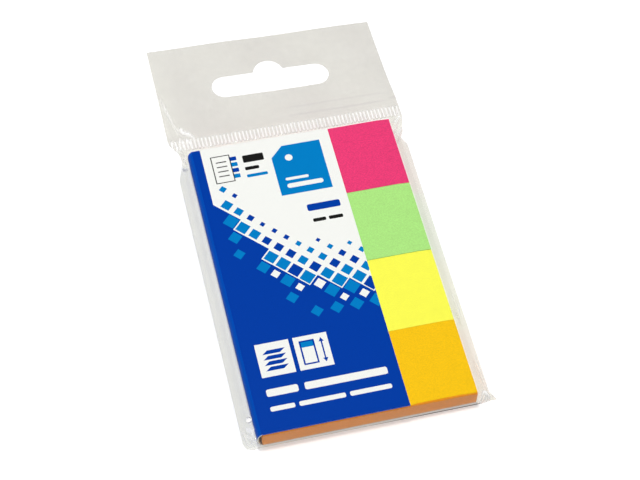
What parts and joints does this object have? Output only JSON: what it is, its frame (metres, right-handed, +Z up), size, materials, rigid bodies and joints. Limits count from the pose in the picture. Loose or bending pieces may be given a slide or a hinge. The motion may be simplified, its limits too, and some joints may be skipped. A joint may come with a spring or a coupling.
{
  "type": "sticky index tabs",
  "caption": "Coloured pads of sticky slips side by side in a folded card cover, sealed in a clear film bag with a crimped band and a header with a hang slot.",
  "frame": {"origin": "under the middle of the whole pack, on the surface it lies on", "axes": "+Z up out of the printed front, +Y towards the header and its hang slot, +X from the card's spine to the pads' free ends"},
  "size_m": [0.0596, 0.1158, 0.0057],
  "materials": {
    "film": "clear glossy film",
    "cover_card": "printed card with a light gloss",
    "orange_paper": "matt",
    "yellow_paper": "matt",
    "green_paper": "matt",
    "pink_paper": "matt"
  },
  "bodies": {
    "root": {"bag": "film", "card_cover": "cover_card", "pad_orange": "orange_paper", "pad_yellow": "yellow_paper", "pad_green": "green_paper", "pad_pink": "pink_paper"}
  },
  "joints": []
}
